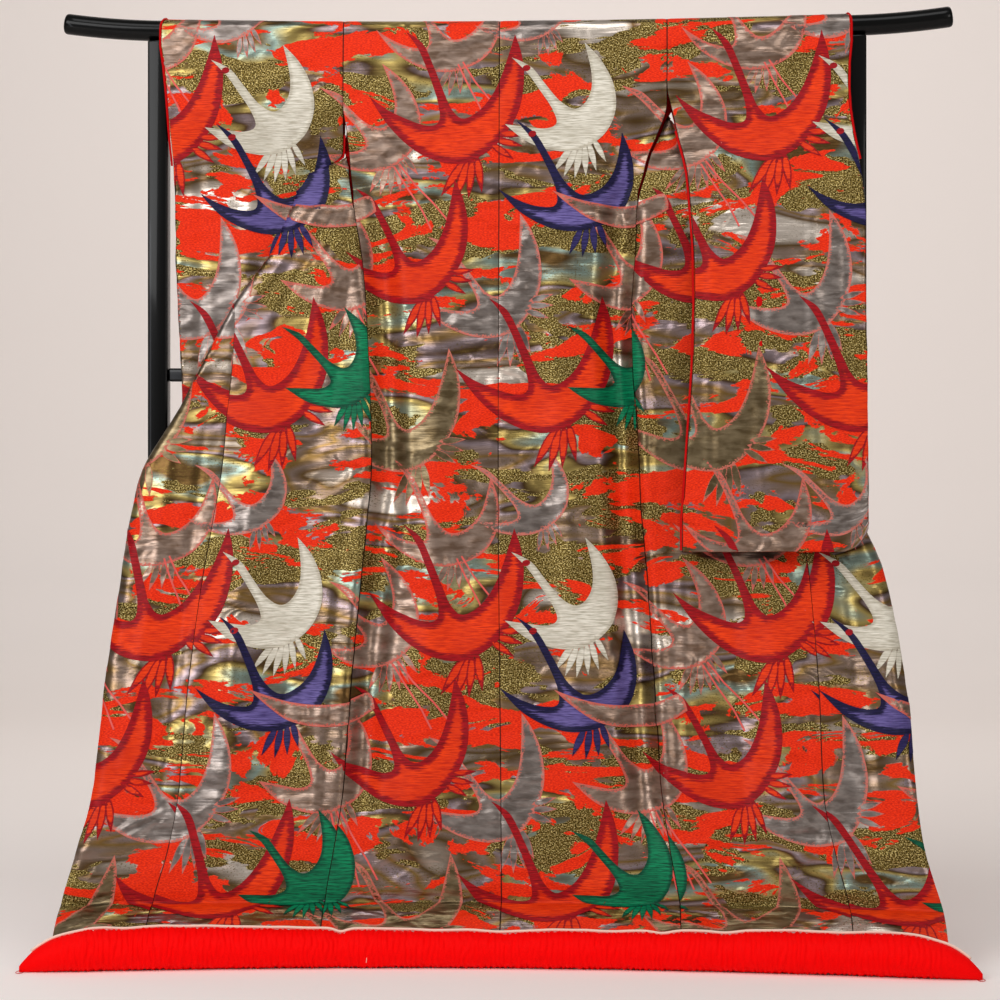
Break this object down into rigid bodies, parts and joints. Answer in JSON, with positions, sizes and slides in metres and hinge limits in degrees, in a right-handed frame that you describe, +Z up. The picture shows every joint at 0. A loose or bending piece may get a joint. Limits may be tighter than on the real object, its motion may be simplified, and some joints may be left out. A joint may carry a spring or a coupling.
{
  "type": "uchikake wedding kimono on a kimono rack",
  "caption": "Trained bridal over-kimono in brocade with long sleeves and a padded hem, spread with its back shown over the bar of a black lacquered standing rack.",
  "frame": {"origin": "on the floor, under the middle of the whole part's box", "axes": "+Z up, the garment's back faces -Y, +X to the right as seen from there"},
  "size_m": [1.7048, 0.5581, 1.7668],
  "materials": {
    "brocade": "figured silk brocade, vermilion and gold with smooth foil threads",
    "collar_brocade": "folded brocade, gold and vermilion",
    "red_lining": "plain red silk",
    "red_padded_silk": "plain red silk gathered over wadding",
    "cream_piping": "cream silk piping cord",
    "black_lacquer": "wood under gloss black lacquer"
  },
  "bodies": {
    "root": {"back_left": "brocade", "back_right": "brocade", "front_left": "brocade", "front_right": "brocade", "okumi_left": "brocade", "okumi_right": "brocade", "sleeve_left": "brocade", "sleeve_right": "brocade", "collar_left": "collar_brocade", "collar_right": "collar_brocade", "cuff_left": "red_lining", "cuff_right": "red_lining", "inner_edge_left": "red_lining", "inner_edge_right": "red_lining", "hem_roll": "red_padded_silk", "hem_piping": "cream_piping", "top_bar": "black_lacquer", "post_left": "black_lacquer", "post_right": "black_lacquer", "foot_left": "black_lacquer", "foot_right": "black_lacquer", "mid_rail": "black_lacquer", "low_rail": "black_lacquer"}
  },
  "joints": []
}
